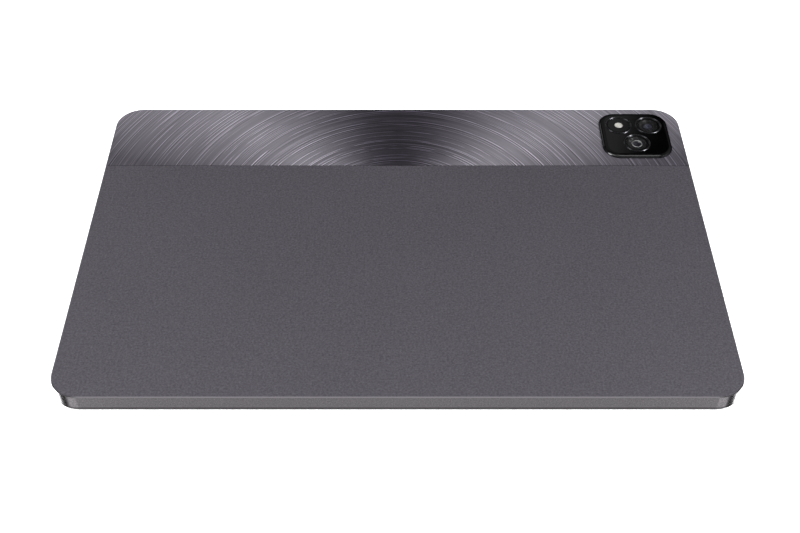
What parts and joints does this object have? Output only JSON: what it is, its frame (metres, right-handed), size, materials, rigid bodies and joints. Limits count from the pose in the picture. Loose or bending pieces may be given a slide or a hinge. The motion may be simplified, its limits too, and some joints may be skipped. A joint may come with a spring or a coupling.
{
  "type": "tablet computer",
  "caption": "Slim tablet computer lying on its screen, with a matte metal back, a polished decorative strip, a raised square camera island, side buttons and a sliding card tray.",
  "frame": {"origin": "centre of the cover glass's outer face, which is the face the tablet rests on", "axes": "+X along the long side towards the camera island's end, +Y along the short side towards the strip, +Z out of the back"},
  "size_m": [0.2574, 0.169, 0.0092],
  "materials": {
    "graphite_metal": "satin",
    "spun_strip": "satin",
    "black_metal": "gloss",
    "island_glass": "gloss",
    "ring_metal": "polished",
    "lens_glass": "gloss",
    "flash_white": "satin",
    "lens_black": "matte",
    "barrel_plastic": "gloss",
    "camera_can": "satin",
    "flex_amber": "satin",
    "screen_glass": "gloss",
    "black_trim": "satin",
    "black_tape": "matte",
    "clear_adhesive": "gloss",
    "panel_glass": "gloss",
    "white_film": "matte",
    "clear_acrylic": "gloss",
    "tray_aluminium": "satin",
    "led_strip": "satin",
    "cell_foil": "satin",
    "green_board": "satin",
    "chip_black": "matte",
    "thermal_blue": "matte",
    "pull_tape": "matte",
    "steel": "satin",
    "socket_black": "matte",
    "speaker_plastic": "matte",
    "mesh_steel": "satin",
    "mic_gold": "satin",
    "antenna_copper": "satin"
  },
  "bodies": {
    "tablet": {"rear_housing": "graphite_metal", "top_strip": "spun_strip", "strip_tape": "black_tape", "screws": "steel", "camera_frame": "black_metal", "camera_glass": "island_glass", "flash_ring": "ring_metal", "main_ring": "ring_metal", "second_ring": "ring_metal", "flash_window": "island_glass", "main_lens_window": "lens_glass", "second_lens_window": "lens_glass", "flash_diffuser": "flash_white", "flash_board": "green_board", "main_lens_shade": "lens_black", "second_lens_shade": "lens_black", "main_camera_can": "camera_can", "second_camera_can": "camera_can", "second_lens_barrel": "barrel_plastic", "camera_sensors": "flex_amber", "front_glass": "screen_glass", "screen_trim": "black_trim", "screen_tape": "black_tape", "optical_adhesive": "clear_adhesive", "lcd_panel": "panel_glass", "optical_films": "white_film", "light_guide": "clear_acrylic", "backlight_tray": "tray_aluminium", "backlight_leds": "led_strip", "display_flex": "flex_amber", "front_camera": "camera_can", "light_sensor": "flex_amber", "battery_left": "cell_foil", "battery_right": "cell_foil", "battery_board": "green_board", "battery_tapes": "pull_tape", "main_board": "green_board", "chips": "chip_black", "thermal_pads": "thermal_blue", "shield_cans": "tray_aluminium", "connectors": "chip_black", "usb_board": "green_board", "usb_shell": "steel", "usb_tongue": "socket_black", "interconnect_flex": "flex_amber", "speaker_upper_right": "speaker_plastic", "speaker_lower_right": "speaker_plastic", "speaker_upper_left": "speaker_plastic", "speaker_lower_left": "speaker_plastic", "speaker_meshes": "mesh_steel", "microphones": "mic_gold", "button_flex": "flex_amber", "card_reader": "steel", "antennas": "antenna_copper"},
    "power_button": {"power_button": "graphite_metal"},
    "volume_rocker": {"volume_rocker": "graphite_metal"},
    "card_tray": {"card_tray": "graphite_metal"},
    "eject_rod": {"eject_rod": "steel"},
    "eject_lever": {"eject_lever": "steel"},
    "main_lens": {"main_lens_barrel": "barrel_plastic"}
  },
  "joints": [
    {"name": "power_press", "type": "slide", "parent": "tablet", "child": "power_button", "axis": [-1, 0, 0], "range_m": [0, 0.0003], "stiffness_N_per_m": 5000},
    {"name": "volume_tilt", "type": "hinge", "parent": "tablet", "child": "volume_rocker", "pos_m": [0.07, 0.08045, 0.0042], "axis": [0, 0, 1], "range_deg": [-1.4, 1.4], "stiffness_Nm_per_rad": 0.6},
    {"name": "card_tray_slide", "type": "slide", "parent": "tablet", "child": "card_tray", "axis": [1, 0, 0], "range_m": [0, 0.022]},
    {"name": "eject_rod_press", "type": "slide", "parent": "tablet", "child": "eject_rod", "axis": [-1, 0, 0], "range_m": [0, 0.0012]},
    {"name": "eject_lever_turn", "type": "hinge", "parent": "tablet", "child": "eject_lever", "pos_m": [0.09922, 0.0027, 0.0042], "axis": [0, 0, 1], "range_deg": [0, 13.3]},
    {"name": "main_lens_focus", "type": "slide", "parent": "tablet", "child": "main_lens", "axis": [0, 0, 1], "range_m": [0, 0.0003], "stiffness_N_per_m": 60}
  ],
  "couplings": [
    {"joint": "eject_lever_turn", "follows": "eject_rod_press", "rad_per_m": 192.31}
  ]
}
